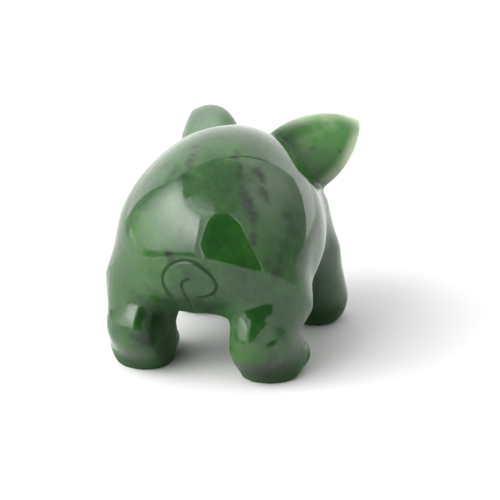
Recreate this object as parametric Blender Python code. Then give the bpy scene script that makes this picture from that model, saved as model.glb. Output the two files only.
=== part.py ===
"""A small pig carved from one piece of green jade. It stands facing -Y, with +Z up, on soles at z = 0.

The stone is described as a distance: how far a point is from the surface, less than nothing inside.
Eggs and tapered limbs are joined with smooth minimums, the grooves lower the surface along guide lines,
and the surface where the distance is nought is meshed and then thinned out.
"""

import bpy
from mathutils import Vector

# All sizes are in millimetres. Paired parts are given for the side where x > 0 and mirrored.
BARREL_CENTRE, BARREL_HALF = (0.0, 3.3, 19.3), (12.8, 17.8, 14.3)
RUMP_CENTRE, RUMP_HALF = (0.0, 6.5, 18.05), (14.95, 15.5, 12.0)
BLEND_BODY = 7.0
# The belly is nearly flat and rises a little towards the chest.
BELLY_Z, BELLY_BACK_Y, BELLY_RISE, BELLY_EDGE = 9.9, 15.0, 0.06, 2.5

HIP, HIP_R = (8.7, 12.05, 11.35), 7.0
HOCK, HOCK_R = (8.6, 16.1, 7.15), 5.3
HEEL, HEEL_R = (9.5, 12.85, 3.3), 5.35
HIND_TOE_CENTRE, HIND_TOE_HALF = (10.1, 9.8, 2.05), (4.55, 5.2, 2.6)
SHOULDER, SHOULDER_R = (6.6, -7.8, 17.9), 5.9
ELBOW, ELBOW_R = (8.4, -9.2, 11.5), 5.35
WRIST, WRIST_R = (9.55, -11.6, 3.9), 5.0
FORE_TOE_CENTRE, FORE_TOE_HALF = (9.3, -13.0, 2.0), (4.5, 4.9, 2.6)
BLEND_JOINT, BLEND_TOE, BLEND_HIP, BLEND_FORE = 1.5, 0.8, 5.0, 5.0
CLEFT_HALF_WIDTH, CLEFT_DEPTH, CLEFT_FROM = 0.5, 0.3, 1.6
TUNNEL_HALF_WIDTH, TUNNEL_ABOVE_BELLY, TUNNEL_ROOF_R, TUNNEL_EDGE = 5.4, 0.45, 1.6, 2.2
SOLE_DROP, SOLE_EDGE = 0.12, 0.7

HEAD_CENTRE, HEAD_HALF = (0.0, -14.0, 18.6), (8.2, 8.5, 8.0)
SNOUT_BACK, SNOUT_BACK_R = (0.0, -17.0, 17.0), 5.5
SNOUT_TIP, SNOUT_TIP_R = (0.0, -22.0, 15.8), 4.35
SNOUT_FACE_Y, SNOUT_EDGE = -24.95, 0.7
SNOUT_RING_BACK, SNOUT_RING_HALF_WIDTH, SNOUT_RING_DEPTH = 1.55, 0.55, 0.22
NOSTRIL, NOSTRIL_R, NOSTRIL_EDGE = (1.45, -25.3, 16.2), 0.8, 0.3
EYE, EYE_R, EYE_LINE_HALF_WIDTH, EYE_LINE_DEPTH = (5.35, -19.0, 21.6), 0.95, 0.42, 0.2
BLEND_SNOUT, BLEND_HEAD = 2.6, 4.0

RIGHT_EAR_ROOT, RIGHT_EAR_TIP = (7.5, -9.4, 26.5), (13.1, -14.4, 29.95)
LEFT_EAR_ROOT, LEFT_EAR_TIP = (6.2, -8.5, 27.2), (10.3, -14.5, 29.3)
EAR_ACROSS = (0.68, 0.04, -0.70)
EAR_ARC_R, EAR_HALF_WIDTH, EAR_WIDEST, EAR_BLUNT = 13.7, 5.75, 0.3, 0.6
EAR_THICK, EAR_THINNING, EAR_RIM, EAR_MARGIN = 1.9, 0.10, 2.6, 1.1
EAR_HOLLOW_EDGE, BLEND_EAR = 0.6, 1.2

# The curled tail is two engraved lines on the rump, given as (x, z) of points along them.
TAIL_OUTER = (
    (1.8, 11.8), (2.8, 14.0), (3.5, 16.5), (2.7, 18.2), (1.0, 19.3), (-0.6, 19.5), (-2.6, 18.6),
    (-3.9, 17.2), (-4.3, 15.7), (-3.7, 14.6), (-2.7, 14.1), (-1.5, 13.8),
)
TAIL_INNER = ((-0.5, 11.4), (0.0, 13.2), (0.6, 15.2), (0.4, 16.3), (-0.4, 16.7))
TAIL_FROM_Y = 14.0
MOUTH = (
    (5.0, -17.6, 14.2), (3.3, -21.0, 13.3), (0.0, -23.4, 12.9), (-3.3, -21.0, 13.3), (-5.0, -17.6, 14.2),
)
LINE_HALF_WIDTH, LINE_DEPTH, LINE_STEPS = 0.55, 0.26, 12

VOXEL = 0.26
BOX_LOW, BOX_HIGH = (-18.2, -26.0, -1.56), (18.2, 23.4, 35.1)
TRIANGLES = 9200
# Moves the middle of the stone's box over the origin.
SHIFT = (0.0, 1.1, 0.0)
METRES = 0.001
FLOOR_LOW, FLOOR_HIGH = (-30.0, -40.0, -10.0), (30.0, 40.0, 0.0)
JADE, JADE_ROUGHNESS, JADE_IOR = (0.065, 0.20, 0.075, 1.0), 0.15, 1.61


class Wire:
    """One output of a node, so that node maths can be written as Python expressions."""

    def __init__(self, tree, socket):
        self.tree = tree
        self.socket = socket

    def maths(self, operation, *others, clamp=False):
        settings = {"operation": operation, "use_clamp": clamp}
        return node(self.tree, "ShaderNodeMath", settings, self, *others)

    def __add__(self, other):
        return self.maths("ADD", other)

    def __sub__(self, other):
        return self.maths("SUBTRACT", other)

    def __mul__(self, other):
        return self.maths("MULTIPLY", other)

    def __truediv__(self, other):
        return self.maths("DIVIDE", other)

    def __rsub__(self, other):
        return node(self.tree, "ShaderNodeMath", {"operation": "SUBTRACT"}, other, self)

    def __neg__(self):
        return self * -1.0

    def __abs__(self):
        return self.maths("ABSOLUTE")

    __radd__ = __add__
    __rmul__ = __mul__


def plug(tree, socket, value):
    if isinstance(value, Wire):
        tree.links.new(value.socket, socket)
    elif value is not None:
        socket.default_value = value


def node(tree, kind, settings, *values, out=0, **named):
    made = tree.nodes.new(kind)
    for name, value in settings.items():
        setattr(made, name, value)
    for socket, value in zip(made.inputs, values):
        plug(tree, socket, value)
    for name, value in named.items():
        plug(tree, made.inputs[name.replace("_", " ")], value)
    return Wire(tree, made.outputs[out])


def vector(operation, a, b):
    result = 1 if operation == "DOT_PRODUCT" else 0
    return node(a.tree, "ShaderNodeVectorMath", {"operation": operation}, a, b, out=result)


def length(a):
    return node(a.tree, "ShaderNodeVectorMath", {"operation": "LENGTH"}, a, out=1)


def parts_of(point):
    apart = point.tree.nodes.new("ShaderNodeSeparateXYZ")
    plug(point.tree, apart.inputs[0], point)
    return [Wire(point.tree, socket) for socket in apart.outputs]


def join(tree, x, y, z):
    return node(tree, "ShaderNodeCombineXYZ", {}, x, y, z)


def union(a, b, blend):
    return a.maths("SMOOTH_MIN", b, blend)


def carve(a, b, blend):
    """Takes the shape b out of the shape a."""
    return a.maths("SMOOTH_MAX", -b, blend)


def keep(a, b, blend):
    """Keeps what is in both shapes."""
    return a.maths("SMOOTH_MAX", b, blend)


def egg(point, centre, half):
    scaled = vector("DIVIDE", vector("SUBTRACT", point, centre), half)
    near = length(scaled)
    steep = length(vector("DIVIDE", scaled, half)) + 0.0001
    return near * (near - 1.0) / steep


def limb(point, start, end, start_r, end_r):
    """A rod with round ends whose radius runs evenly from one end to the other."""
    along = Vector(end) - Vector(start)
    offset = vector("SUBTRACT", point, start)
    share = vector("DOT_PRODUCT", offset, tuple(along)).maths("DIVIDE", along.length_squared, clamp=True)
    nearest = vector("MULTIPLY", join(point.tree, share, share, share), tuple(along))
    return length(vector("SUBTRACT", offset, nearest)) - (share * (end_r - start_r) + start_r)


def ear(point, root, tip):
    """A pointed leaf between two arcs, thin at its rim, with a hollow in its front."""
    out = (Vector(tip) - Vector(root)).normalized()
    across = Vector(EAR_ACROSS)
    across = (across - out * across.dot(out)).normalized()
    offset = vector("SUBTRACT", point, root)
    u = vector("DOT_PRODUCT", offset, tuple(out))
    v = vector("DOT_PRODUCT", offset, tuple(across))
    w = vector("DOT_PRODUCT", offset, tuple(out.cross(across)))
    from_middle = (v * v + EAR_BLUNT ** 2).maths("SQRT")
    to_arc_centre = join(point.tree, u - EAR_WIDEST, from_middle + (EAR_ARC_R - EAR_HALF_WIDTH), 0.0)
    outline = length(to_arc_centre) - EAR_ARC_R
    thick = EAR_THICK - u * EAR_THINNING

    def leaf(shrink, forward):
        rim = (outline + (EAR_RIM + shrink)).maths("MAXIMUM", 0.0)
        flat = (w + forward) / thick * EAR_RIM
        return length(join(point.tree, rim, flat, 0.0)) - EAR_RIM

    return carve(leaf(0.0, 0.0), leaf(EAR_MARGIN, EAR_THICK), EAR_HOLLOW_EDGE)


def dip(distance, half_width):
    """1 on a line, falling smoothly to 0 at half_width from it."""
    rest = 1.0 - (distance / half_width).maths("MINIMUM", 1.0).maths("POWER", 2.0)
    return rest * rest


def past(value, edge, soft=0.4):
    """0 where the value is less than the edge, 1 where it is more."""
    return ((value - edge) / soft + 0.5).maths("MINIMUM", 1.0).maths("MAXIMUM", 0.0)


def guide(name, points):
    """A smooth line through the points, kept out of the render."""
    curve = bpy.data.curves.new(name, "CURVE")
    curve.dimensions = "3D"
    curve.resolution_u = LINE_STEPS
    spline = curve.splines.new("BEZIER")
    spline.bezier_points.add(len(points) - 1)
    for knot, point in zip(spline.bezier_points, points):
        knot.co = point
        knot.handle_left_type = knot.handle_right_type = "AUTO"
    made = bpy.data.objects.new(name, curve)
    bpy.context.scene.collection.objects.link(made)
    made.hide_render = True
    return made


def line_distance(point, line):
    tree = point.tree
    shape = node(tree, "GeometryNodeObjectInfo", {"transform_space": "ORIGINAL"}, line, out=4)
    edges = node(tree, "GeometryNodeCurveToMesh", {}, shape)
    near = tree.nodes.new("GeometryNodeProximity")
    near.target_element = "EDGES"
    plug(tree, near.inputs[0], edges)
    plug(tree, near.inputs["Sample Position"], point)
    return Wire(tree, near.outputs["Distance"])


def body(point, half, belly):
    """The trunk on its four legs, with the open space under the belly."""
    x, y, z = parts_of(half)
    trunk = union(egg(point, BARREL_CENTRE, BARREL_HALF), egg(point, RUMP_CENTRE, RUMP_HALF), BLEND_BODY)
    trunk = keep(trunk, belly - z, BELLY_EDGE)

    hind = union(limb(half, HIP, HOCK, HIP_R, HOCK_R), limb(half, HOCK, HEEL, HOCK_R, HEEL_R), BLEND_JOINT)
    hind = union(hind, egg(half, HIND_TOE_CENTRE, HIND_TOE_HALF), BLEND_TOE)
    upper = limb(half, SHOULDER, ELBOW, SHOULDER_R, ELBOW_R)
    fore = union(upper, limb(half, ELBOW, WRIST, ELBOW_R, WRIST_R), BLEND_JOINT)
    fore = union(fore, egg(half, FORE_TOE_CENTRE, FORE_TOE_HALF), BLEND_TOE)
    cleft = dip(abs(x - HIND_TOE_CENTRE[0]), CLEFT_HALF_WIDTH) * CLEFT_DEPTH
    hind = hind + cleft * past(-y, CLEFT_FROM - HIND_TOE_CENTRE[1])
    fore = fore + cleft * past(-y, CLEFT_FROM - FORE_TOE_CENTRE[1])

    form = union(union(trunk, hind, BLEND_HIP), fore, BLEND_FORE)
    tunnel = keep(x - TUNNEL_HALF_WIDTH, z - (belly + TUNNEL_ABOVE_BELLY), TUNNEL_ROOF_R)
    return carve(form, tunnel, TUNNEL_EDGE)


def head(point, half, mouth_line):
    """The head with its snout, ring line, nostrils, ringed eyes and mouth."""
    y = parts_of(point)[1]
    snout = limb(point, SNOUT_BACK, SNOUT_TIP, SNOUT_BACK_R, SNOUT_TIP_R)
    snout = keep(snout, SNOUT_FACE_Y - y, SNOUT_EDGE)
    ring = abs(y - (SNOUT_FACE_Y + SNOUT_RING_BACK))
    snout = snout + dip(ring, SNOUT_RING_HALF_WIDTH) * SNOUT_RING_DEPTH
    snout = carve(snout, length(vector("SUBTRACT", half, NOSTRIL)) - NOSTRIL_R, NOSTRIL_EDGE)
    skull = union(egg(point, HEAD_CENTRE, HEAD_HALF), snout, BLEND_SNOUT)
    from_eye = length(vector("SUBTRACT", half, EYE))
    skull = skull + dip(abs(from_eye - EYE_R), EYE_LINE_HALF_WIDTH) * EYE_LINE_DEPTH
    return skull + dip(line_distance(point, mouth_line), LINE_HALF_WIDTH) * LINE_DEPTH


def stone(point, tail_lines, mouth_line):
    """How far the point is from the pig's surface."""
    tree = point.tree
    x, y, z = parts_of(point)
    half = join(tree, abs(x), y, z)
    belly = BELLY_Z + BELLY_RISE * BELLY_BACK_Y - y * BELLY_RISE
    form = union(body(point, half, belly), head(point, half, mouth_line), BLEND_HEAD)
    form = union(form, ear(point, LEFT_EAR_ROOT, LEFT_EAR_TIP), BLEND_EAR)
    form = union(form, ear(join(tree, -x, y, z), RIGHT_EAR_ROOT, RIGHT_EAR_TIP), BLEND_EAR)
    flat = join(tree, x, 0.0, z)
    for line in tail_lines:
        form = form + dip(line_distance(flat, line), LINE_HALF_WIDTH) * past(y, TAIL_FROM_Y) * LINE_DEPTH
    return keep(form, -z - SOLE_DROP, SOLE_EDGE)


def rough_out(tail_lines, mouth_line):
    """A mesh of the stone, in metres."""
    tree = bpy.data.node_groups.new("stone", "GeometryNodeTree")
    tree.interface.new_socket("Geometry", in_out="OUTPUT", socket_type="NodeSocketGeometry")
    point = node(tree, "GeometryNodeInputPosition", {})
    counts = [round((high - low) / VOXEL) + 1 for low, high in zip(BOX_LOW, BOX_HIGH)]
    high = tuple(low + VOXEL * (count - 1) for low, count in zip(BOX_LOW, counts))
    depth = -stone(point, tail_lines, mouth_line)
    fog = node(tree, "GeometryNodeVolumeCube", {}, depth, -1.0, BOX_LOW, high, *counts)
    skin = node(tree, "GeometryNodeVolumeToMesh", {}, fog, Threshold=0.0, Adaptivity=0.0)
    shift = tuple(along * METRES for along in SHIFT)
    small = node(tree, "GeometryNodeTransform", {}, skin, Translation=shift, Scale=(METRES,) * 3)
    smooth = node(tree, "GeometryNodeSetShadeSmooth", {}, small)
    out = tree.nodes.new("NodeGroupOutput")
    plug(tree, out.inputs[0], smooth)

    carrier = bpy.data.objects.new("carrier", bpy.data.meshes.new("carrier"))
    bpy.context.scene.collection.objects.link(carrier)
    carrier.modifiers.new("stone", "NODES").node_group = tree
    graph = bpy.context.evaluated_depsgraph_get()
    mesh = bpy.data.meshes.new_from_object(carrier.evaluated_get(graph))
    bpy.data.objects.remove(carrier)
    return mesh


def box(name, low, high):
    """A box between two corners given in millimetres, kept out of the render."""
    spans = [(a * METRES, b * METRES) for a, b in zip(low, high)]
    corners = [(x, y, z) for x in spans[0] for y in spans[1] for z in spans[2]]
    faces = [(0, 1, 3, 2), (4, 6, 7, 5), (0, 4, 5, 1), (2, 3, 7, 6), (0, 2, 6, 4), (1, 5, 7, 3)]
    mesh = bpy.data.meshes.new(name)
    mesh.from_pydata(corners, [], faces)
    made = bpy.data.objects.new(name, mesh)
    bpy.context.scene.collection.objects.link(made)
    made.hide_render = True
    made.display_type = "WIRE"
    return made


def jade():
    material = bpy.data.materials.new("jade")
    material.use_nodes = True
    shader = material.node_tree.nodes["Principled BSDF"]
    shader.inputs["Base Color"].default_value = JADE
    shader.inputs["Roughness"].default_value = JADE_ROUGHNESS
    shader.inputs["IOR"].default_value = JADE_IOR
    return material


for thing in list(bpy.data.objects):
    bpy.data.objects.remove(thing)

tail_lines = [
    guide("tail_outer_guide", [(x, 0.0, z) for x, z in TAIL_OUTER]),
    guide("tail_inner_guide", [(x, 0.0, z) for x, z in TAIL_INNER]),
]
mesh = rough_out(tail_lines, guide("mouth_guide", MOUTH))
mesh.name = "jade_pig"
mesh.materials.append(jade())
pig = bpy.data.objects.new("jade_pig", mesh)
bpy.context.scene.collection.objects.link(pig)

triangles = sum(len(face.vertices) - 2 for face in mesh.polygons)
thin = pig.modifiers.new("thin", "DECIMATE")
thin.ratio = TRIANGLES / triangles
level = pig.modifiers.new("level soles", "BOOLEAN")
level.operation = "DIFFERENCE"
level.solver = "EXACT"
level.object = box("floor_cutter", FLOOR_LOW, FLOOR_HIGH)
print("full mesh", triangles, "triangles")
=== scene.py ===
# %% [markdown]
# # A small jade pig
#
# The pig is carved from one piece of green nephrite and polished all over. The CAD part gives its
# size, stance and outline. Here the same stone is carved again with many more faces, engraved, and
# given a finish that shows what polished jade does: a cloudy green inside, dark specks, light that
# goes a little way in, and clear reflections on the surface.

# %% Load the frame
import math

import bmesh
import bpy
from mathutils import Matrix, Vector
from mathutils.kdtree import KDTree


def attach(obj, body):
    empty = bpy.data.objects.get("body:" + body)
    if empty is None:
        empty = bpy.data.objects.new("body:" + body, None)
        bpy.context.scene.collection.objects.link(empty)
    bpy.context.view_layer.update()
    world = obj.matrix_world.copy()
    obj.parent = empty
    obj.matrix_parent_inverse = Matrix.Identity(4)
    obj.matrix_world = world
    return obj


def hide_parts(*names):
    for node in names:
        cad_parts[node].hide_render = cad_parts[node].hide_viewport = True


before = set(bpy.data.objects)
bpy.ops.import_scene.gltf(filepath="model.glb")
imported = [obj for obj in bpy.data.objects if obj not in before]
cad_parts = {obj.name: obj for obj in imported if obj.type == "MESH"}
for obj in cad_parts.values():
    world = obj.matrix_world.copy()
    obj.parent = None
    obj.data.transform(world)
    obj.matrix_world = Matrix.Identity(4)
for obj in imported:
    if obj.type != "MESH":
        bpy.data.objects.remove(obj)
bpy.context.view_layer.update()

# %% [markdown]
# ## Node sums written as Python
#
# A shape or a finish that is one long sum is hard to wire by hand. `Wire` stands for one output of a
# node. Python's own operators on it add Math nodes, or Vector Math nodes where a vector takes part,
# so `(point - centre) / half` builds two nodes. It serves Geometry Nodes and shaders alike.

# %% A wire and a node
class Wire:
    def __init__(self, tree, socket):
        self.tree = tree
        self.socket = socket

    def maths(self, operation, *others, clamp=False):
        settings = {"operation": operation, "use_clamp": clamp}
        return node(self.tree, "ShaderNodeMath", settings, self, *others)

    def arrow(self, operation, *others):
        """Vector maths. A length and a dot product come out of the second socket, as a number."""
        settings = {"operation": operation}
        number = int(operation in ("LENGTH", "DOT_PRODUCT"))
        return node(self.tree, "ShaderNodeVectorMath", settings, self, *others, out=number)

    def __add__(self, other):
        return pair("ADD", self, other)

    def __sub__(self, other):
        return pair("SUBTRACT", self, other)

    def __mul__(self, other):
        return pair("MULTIPLY", self, other)

    def __truediv__(self, other):
        return pair("DIVIDE", self, other)

    def __rsub__(self, other):
        return pair("SUBTRACT", other, self)

    def __neg__(self):
        return pair("MULTIPLY", self, -1.0)

    def __abs__(self):
        return self.maths("ABSOLUTE")

    __radd__ = __add__
    __rmul__ = __mul__


def is_vector(value):
    if isinstance(value, Wire):
        return value.socket.type in ("VECTOR", "RGBA")
    return isinstance(value, (tuple, Vector))


def pair(operation, a, b):
    tree = a.tree if isinstance(a, Wire) else b.tree
    if not (is_vector(a) or is_vector(b)):
        return node(tree, "ShaderNodeMath", {"operation": operation}, a, b)
    a, b = [(side,) * 3 if isinstance(side, (int, float)) else side for side in (a, b)]
    return node(tree, "ShaderNodeVectorMath", {"operation": operation}, a, b)


def plug(tree, socket, value):
    if isinstance(value, Wire):
        tree.links.new(value.socket, socket)
    elif value is not None:
        socket.default_value = value


def node(tree, kind, settings, *values, out=0, **named):
    """Adds a node, makes its settings, then fills its sockets with values or wires."""
    made = tree.nodes.new(kind)
    stops = settings.pop("stops", ())
    for name, value in settings.items():
        setattr(made, name, value)
    for index, (place, colour) in enumerate(stops):
        ramp = made.color_ramp.elements
        stop = ramp[index] if index < len(ramp) else ramp.new(place)
        stop.position, stop.color = place, colour
    for socket, value in zip(made.inputs, values):
        plug(tree, socket, value)
    for name, value in named.items():
        plug(tree, made.inputs[name.replace("_", " ")], value)
    return Wire(tree, made.outputs[out])


def axes_of(point):
    apart = point.tree.nodes.new("ShaderNodeSeparateXYZ")
    plug(point.tree, apart.inputs[0], point)
    return [Wire(point.tree, socket) for socket in apart.outputs]


def together(tree, x, y, z):
    return node(tree, "ShaderNodeCombineXYZ", {}, x, y, z)


print("helpers for node trees are ready")

# %% [markdown]
# ## The carving's sizes
#
# A carver works from a few measures: how long the barrel is, where each leg stands, how far the ears
# lean out. They are given here in millimetres, for the pig's left side where a part comes twice. They
# become the named inputs of the node trees, so each can be changed in the modifier too.

# %% Sizes of the body and legs
BODY = {
    "Barrel centre": (0.0, 3.3, 19.3),
    "Barrel half size": (12.8, 17.8, 14.3),
    "Rump centre": (0.0, 6.5, 18.05),
    "Rump half size": (14.95, 15.5, 12.0),
    "Body blend": 7.0,
    "Belly height at the back": 9.9,
    "Belly rise": 0.06,
    "Belly rise starts at": 15.0,
    "Belly edge": 2.5,
    "Tunnel half width": 5.4,
    "Tunnel above the belly": 0.45,
    "Tunnel edge": 2.2,
    "Tunnel corner": 1.6,
    "Hip": (8.7, 12.05, 11.35),
    "Hip radius": 7.0,
    "Hock": (8.6, 16.1, 7.15),
    "Hock radius": 5.3,
    "Heel": (9.5, 12.85, 3.3),
    "Heel radius": 5.35,
    "Hind toes": (10.1, 9.8, 2.05),
    "Hind toes half size": (4.55, 5.2, 2.6),
    "Shoulder": (6.6, -7.8, 17.9),
    "Shoulder radius": 5.9,
    "Elbow": (8.4, -9.2, 11.5),
    "Elbow radius": 5.35,
    "Wrist": (9.55, -11.6, 3.9),
    "Wrist radius": 5.0,
    "Fore toes": (9.3, -13.0, 2.0),
    "Fore toes half size": (4.5, 4.9, 2.6),
    "Leg joint blend": 1.5,
    "Leg blend": 5.0,
    "Toe blend": 0.8,
    "Cleft depth": 0.3,
    "Cleft half width": 0.5,
    "Cleft starts at": 1.6,
    "Sole edge": 0.7,
    "Sole drop": 0.12,
}
print(len(BODY), "sizes for the body and legs")

# %% [markdown]
# The head and the ears have more sizes than their share of the stone, because the eye goes there first. An
# ear is measured from its root to its tip. The two ears differ in lean and in fold, as the photo shows.

# %% Sizes of the head and ears
HEAD = {
    "Skull centre": (0.0, -14.0, 18.6),
    "Skull half size": (8.2, 8.5, 8.0),
    "Snout back": (0.0, -17.0, 17.0),
    "Snout back radius": 5.5,
    "Snout tip": (0.0, -22.0, 15.8),
    "Snout tip radius": 4.35,
    "Snout face": -24.95,
    "Snout face edge": 0.7,
    "Snout blend": 2.6,
    "Disc thickness": 1.55,
    "Disc line half width": 0.55,
    "Disc line depth": 0.22,
    "Nostril": (1.45, -25.3, 16.2),
    "Nostril radius": 0.8,
    "Nostril edge": 0.3,
    "Eye": (5.35, -19.0, 21.6),
    "Eye radius": 0.95,
    "Eye line half width": 0.42,
    "Eye line depth": 0.2,
    "Head blend": 4.0,
}
EARS = {
    "Right ear root": (7.5, -9.4, 26.5),
    "Right ear tip": (13.1, -14.4, 29.95),
    "Left ear root": (6.2, -8.5, 27.2),
    "Left ear tip": (10.3, -14.5, 29.3),
    "Ear across": (0.68, 0.04, -0.70),
    "Ear arc radius": 13.7,
    "Ear half width": 5.75,
    "Ear thickness": 1.9,
    "Ear thinning": 0.10,
    "Ear rim radius": 2.6,
    "Ear margin": 1.1,
    "Ear hollow edge": 0.6,
    "Ear ridge": 0.6,
    "Ear arcs start at": 0.3,
    "Ear blend": 1.2,
    "Right ear fold": 0.14,
    "Left ear fold": -0.12,
    "Ear fold round": 1.73,
}
FORM = {**BODY, **HEAD, **EARS, "Swelling": 1.0}
MM = 0.001
# The measures were taken with the origin under the shoulders. This moves the middle over the origin.
FORWARD = 1.1
print(len(FORM), "sizes in all")

# %% [markdown]
# ## Where the wheel pressed
#
# A carver's wheel leaves a rump that is not quite an egg. Its low swells and flats are too slight to see in
# the outline, but they bend the reflections of window and room. Each row is the middle of a swell and how
# high it stands in millimetres; less than nothing is a flat. The heights were fitted until the bright and
# dark shapes on the rump and the hocks sat where the photo has them, and then rounded and thinned out.

# %% Swells and flats
RUMP_REACH, HOCK_REACH = 4.0, 2.3
ON_THE_RUMP = (
    ((-1.5, 22.7, 19.1), -0.10), ((-7.3, 20.0, 21.8), -0.15), ((-10.0, 18.2, 20.7), -0.15),
    ((-10.1, 18.7, 17.2), 0.65), ((-12.4, 17.3, 14.7), 0.15), ((-13.7, 14.4, 17.6), 0.15),
    ((-13.9, 12.6, 20.1), 0.50), ((-14.6, 10.0, 14.4), -0.50), ((6.0, 20.4, 22.8), -0.25),
    ((6.9, 20.3, 14.4), 0.50), ((11.6, 18.0, 14.0), 0.40),
)
ON_THE_RIGHT_HOCK = (
    ((-7.4, 20.0, 11.8), 0.40), ((-8.6, 19.7, 12.4), -0.25), ((-8.1, 20.8, 10.2), -0.10),
    ((-9.5, 20.4, 10.6), -0.35), ((-10.7, 19.6, 11.1), 0.40), ((-10.0, 21.1, 9.2), 0.35),
    ((-8.6, 21.5, 8.5), -0.30), ((-11.5, 20.2, 9.5), -0.50), ((-7.4, 21.5, 8.0), -0.15),
    ((-11.9, 20.5, 7.9), -0.70), ((-8.7, 21.6, 6.9), 0.20), ((-10.4, 21.4, 6.8), -0.35),
)
ON_THE_LEFT_HOCK = (
    ((11.4, 19.6, 10.5), -0.55), ((9.6, 20.1, 10.9), 0.15), ((8.0, 20.4, 10.9), -0.15),
    ((6.5, 20.3, 10.4), -0.30), ((9.9, 21.0, 9.3), -0.25), ((8.3, 21.3, 9.0), 0.35),
    ((8.8, 21.6, 7.5), 0.20), ((6.0, 20.6, 8.4), -0.50),
)
SWELLS = [(place, RUMP_REACH, height) for place, height in ON_THE_RUMP]
SWELLS += [(place, HOCK_REACH, height) for place, height in ON_THE_RIGHT_HOCK + ON_THE_LEFT_HOCK]
print(len(SWELLS), "swells and flats, the highest", max(height for _, _, height in SWELLS), "mm")

# %% [markdown]
# ## Shapes as distances
#
# The stone is described by one number at every point in space: how far that point is from the
# surface, less than nothing inside. An egg and a tapered rod have simple formulas for it. The smaller
# of two distances joins two shapes, and a *smooth* minimum rounds the place where they meet, which is
# just what a polishing wheel does to the hollow between a leg and a belly.

# %% Eggs, limbs and how they join
# This keeps the division in an egg's formula away from nought at the egg's middle.
LEAST = 0.0001


def union(a, b, blend):
    return a.maths("SMOOTH_MIN", b, blend)


def keep(a, b, blend):
    return a.maths("SMOOTH_MAX", b, blend)


def carve(a, b, blend):
    return a.maths("SMOOTH_MAX", -b, blend)


def egg(point, centre, half):
    scaled = (point - centre) / half
    near = scaled.arrow("LENGTH")
    steep = (scaled / half).arrow("LENGTH") + LEAST
    return near * (near - 1.0) / steep


def limb(point, start, end, start_r, end_r):
    along, offset = end - start, point - start
    share = offset.arrow("DOT_PRODUCT", along).maths("DIVIDE", along.arrow("DOT_PRODUCT", along), clamp=True)
    return (offset - along * share).arrow("LENGTH") - (start_r + share * (end_r - start_r))


def ball(point, centre, radius):
    return (point - centre).arrow("LENGTH") - radius


def dip(distance, half_width):
    """1 on a line, falling smoothly to 0 at half_width from it."""
    rest = 1.0 - (distance / half_width).maths("MINIMUM", 1.0).maths("POWER", 2.0)
    return rest * rest


def past(value, edge, soft=0.4):
    """0 where the value is less than the edge, 1 where it is more, and a short slope between."""
    return ((value - edge) / soft + 0.5).maths("MINIMUM", 1.0).maths("MAXIMUM", 0.0)


print("shapes: egg, limb, ball; joins: union, keep, carve")

# %% [markdown]
# ## Body and legs
#
# The barrel is two eggs, a long one and a wide one for the rump. Each leg is two tapered rods that meet
# at a joint, with an egg for the toes and a shallow cleft between them. The open space under the belly
# was ground straight through between the legs, so it is one round-edged slot here too.

# %% The body
LEGS = ((("Hip", "Hock", "Heel"), "Hind toes"), (("Shoulder", "Elbow", "Wrist"), "Fore toes"))


def body(point, half, size):
    across, along, up = axes_of(half)
    belly = size["Belly height at the back"] + size["Belly rise"] * (size["Belly rise starts at"] - along)
    trunk = union(
        egg(point, size["Barrel centre"], size["Barrel half size"]),
        egg(point, size["Rump centre"], size["Rump half size"]),
        size["Body blend"],
    )
    trunk = keep(trunk, belly - up, size["Belly edge"])
    legs = []
    for joints, toes in LEGS:
        radii = [size[joint + " radius"] for joint in joints]
        high, middle, low = [size[joint] for joint in joints]
        upper, lower = limb(half, high, middle, *radii[:2]), limb(half, middle, low, *radii[1:])
        leg = union(upper, lower, size["Leg joint blend"])
        leg = union(leg, egg(half, size[toes], size[toes + " half size"]), size["Toe blend"])
        toe_across, toe_along, _ = axes_of(size[toes])
        cleft = dip(abs(across - toe_across), size["Cleft half width"]) * size["Cleft depth"]
        legs.append(leg + cleft * past(toe_along - along, size["Cleft starts at"]))
    form = union(union(trunk, legs[0], size["Leg blend"]), legs[1], size["Leg blend"])
    ceiling = up - (belly + size["Tunnel above the belly"])
    slot = keep(across - size["Tunnel half width"], ceiling, size["Tunnel corner"])
    return carve(form, slot, size["Tunnel edge"])


print("body and", 2 * len(LEGS), "legs are described")

# %% [markdown]
# ## Head and ears
#
# The photo shows the pig from behind, so the face is the carver's usual one: a short snout cut off flat,
# a line behind its disc, two drilled nostrils and ringed eyes.

# %% The head
def head(point, half, size):
    along = axes_of(point)[1]
    radii = (size["Snout back radius"], size["Snout tip radius"])
    snout = limb(point, size["Snout back"], size["Snout tip"], *radii)
    snout = keep(snout, size["Snout face"] - along, size["Snout face edge"])
    behind_disc = abs(along - (size["Snout face"] + size["Disc thickness"]))
    snout = snout + dip(behind_disc, size["Disc line half width"]) * size["Disc line depth"]
    snout = carve(snout, ball(half, size["Nostril"], size["Nostril radius"]), size["Nostril edge"])
    skull = union(egg(point, size["Skull centre"], size["Skull half size"]), snout, size["Snout blend"])
    ring = abs(ball(half, size["Eye"], size["Eye radius"]))
    return skull + dip(ring, size["Eye line half width"]) * size["Eye line depth"]


print("the head is described")

# %% [markdown]
# An ear is a pointed leaf. Its outline lies between two arcs, it gets thinner towards the tip, and a shallow
# hollow is cut into its front. It could be modelled flat and bent, but here its middle line is raised or
# lowered instead, which folds it a little and turns its back to another part of the room.

# %% An ear
EAR_LINE = (" ear root", " ear tip", " ear fold")


def rounded(value, radius):
    """The size of a value without its sign, with a rounded turn in place of a sharp one at nought."""
    return (value * value + radius * radius).maths("SQRT")


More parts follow.
